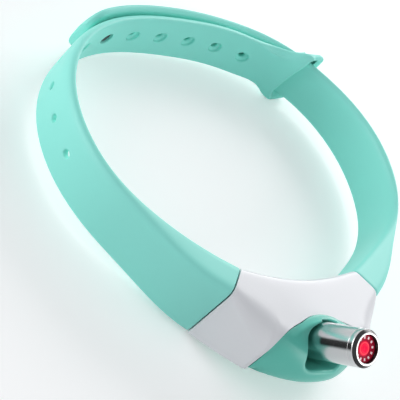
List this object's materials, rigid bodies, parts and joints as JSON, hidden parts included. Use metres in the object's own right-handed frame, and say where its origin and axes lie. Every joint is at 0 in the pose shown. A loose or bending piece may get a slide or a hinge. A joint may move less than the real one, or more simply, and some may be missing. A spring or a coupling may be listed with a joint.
{
  "type": "pet collar with laser pointer",
  "caption": "Silicone pet collar with a snap-stud strap and keeper loop, joined to a small plastic case whose metal laser barrel tilts in a pocket and is switched by a push button.",
  "frame": {"origin": "middle of the neck loop, on the plane that the collar's back edge rests on", "axes": "+Z along the neck loop's axis, up from the rest plane towards the laser's front; -Y from the loop's middle to the case; +X towards the short strap's side"},
  "size_m": [0.1086, 0.114, 0.0321],
  "materials": {
    "mint_silicone": "smooth satin silicone",
    "stud_grey": "smooth, dark",
    "white_plastic": "smooth semi-gloss",
    "mint_plastic": "smooth semi-gloss",
    "bright_metal": "polished",
    "dark_bezel": "polished black",
    "red_window": "clear red",
    "nut_brass": "turned",
    "red_lens": "clear red",
    "module_brass": "turned",
    "diode_steel": "plain",
    "board_green": "satin",
    "pin_steel": "plain",
    "washer_rubber": "matte",
    "wire_red": "satin",
    "wire_black": "satin",
    "cell_foil": "foil",
    "switch_black": "matte",
    "plunger_white": "matte",
    "button_mint": "satin",
    "contact_brass": "plated"
  },
  "bodies": {
    "collar": {"strap_long": "mint_silicone", "strap_short": "mint_silicone", "cover_shell": "white_plastic", "pod_case": "mint_plastic", "laser_leads": "wire_red", "main_board": "board_green", "battery_cell": "cell_foil", "battery_leads": "wire_black", "switch_body": "switch_black", "charge_contacts": "contact_brass", "strap_pins": "pin_steel", "case_screws": "pin_steel"},
    "laser_head": {"laser_barrel": "bright_metal", "barrel_bezel": "dark_bezel", "front_window": "red_window", "lens_nut": "nut_brass", "collimating_lens": "red_lens", "laser_module": "module_brass", "laser_diode": "diode_steel", "module_board": "board_green", "trunnion_pins": "pin_steel", "friction_washers": "washer_rubber"},
    "button": {"power_button": "button_mint", "switch_plunger": "plunger_white"},
    "tail": {"strap_tail": "mint_silicone", "clasp_stud": "stud_grey"}
  },
  "joints": [
    {"name": "laser_tilt", "type": "hinge", "parent": "collar", "child": "laser_head", "pos_m": [0, -0.0508, 0.011], "axis": [1, 0, 0], "range_deg": [0, 12]},
    {"name": "power_button_press", "type": "slide", "parent": "collar", "child": "button", "axis": [-0.8397, 0.5431, 0], "range_m": [0, 0.0006], "stiffness_N_per_m": 1200},
    {"name": "tail_peel", "type": "hinge", "parent": "collar", "child": "tail", "pos_m": [-0.00036, 0.04681, 0.0097], "axis": [0, 0, -1], "range_deg": [0, 35], "stiffness_Nm_per_rad": 0.003}
  ]
}
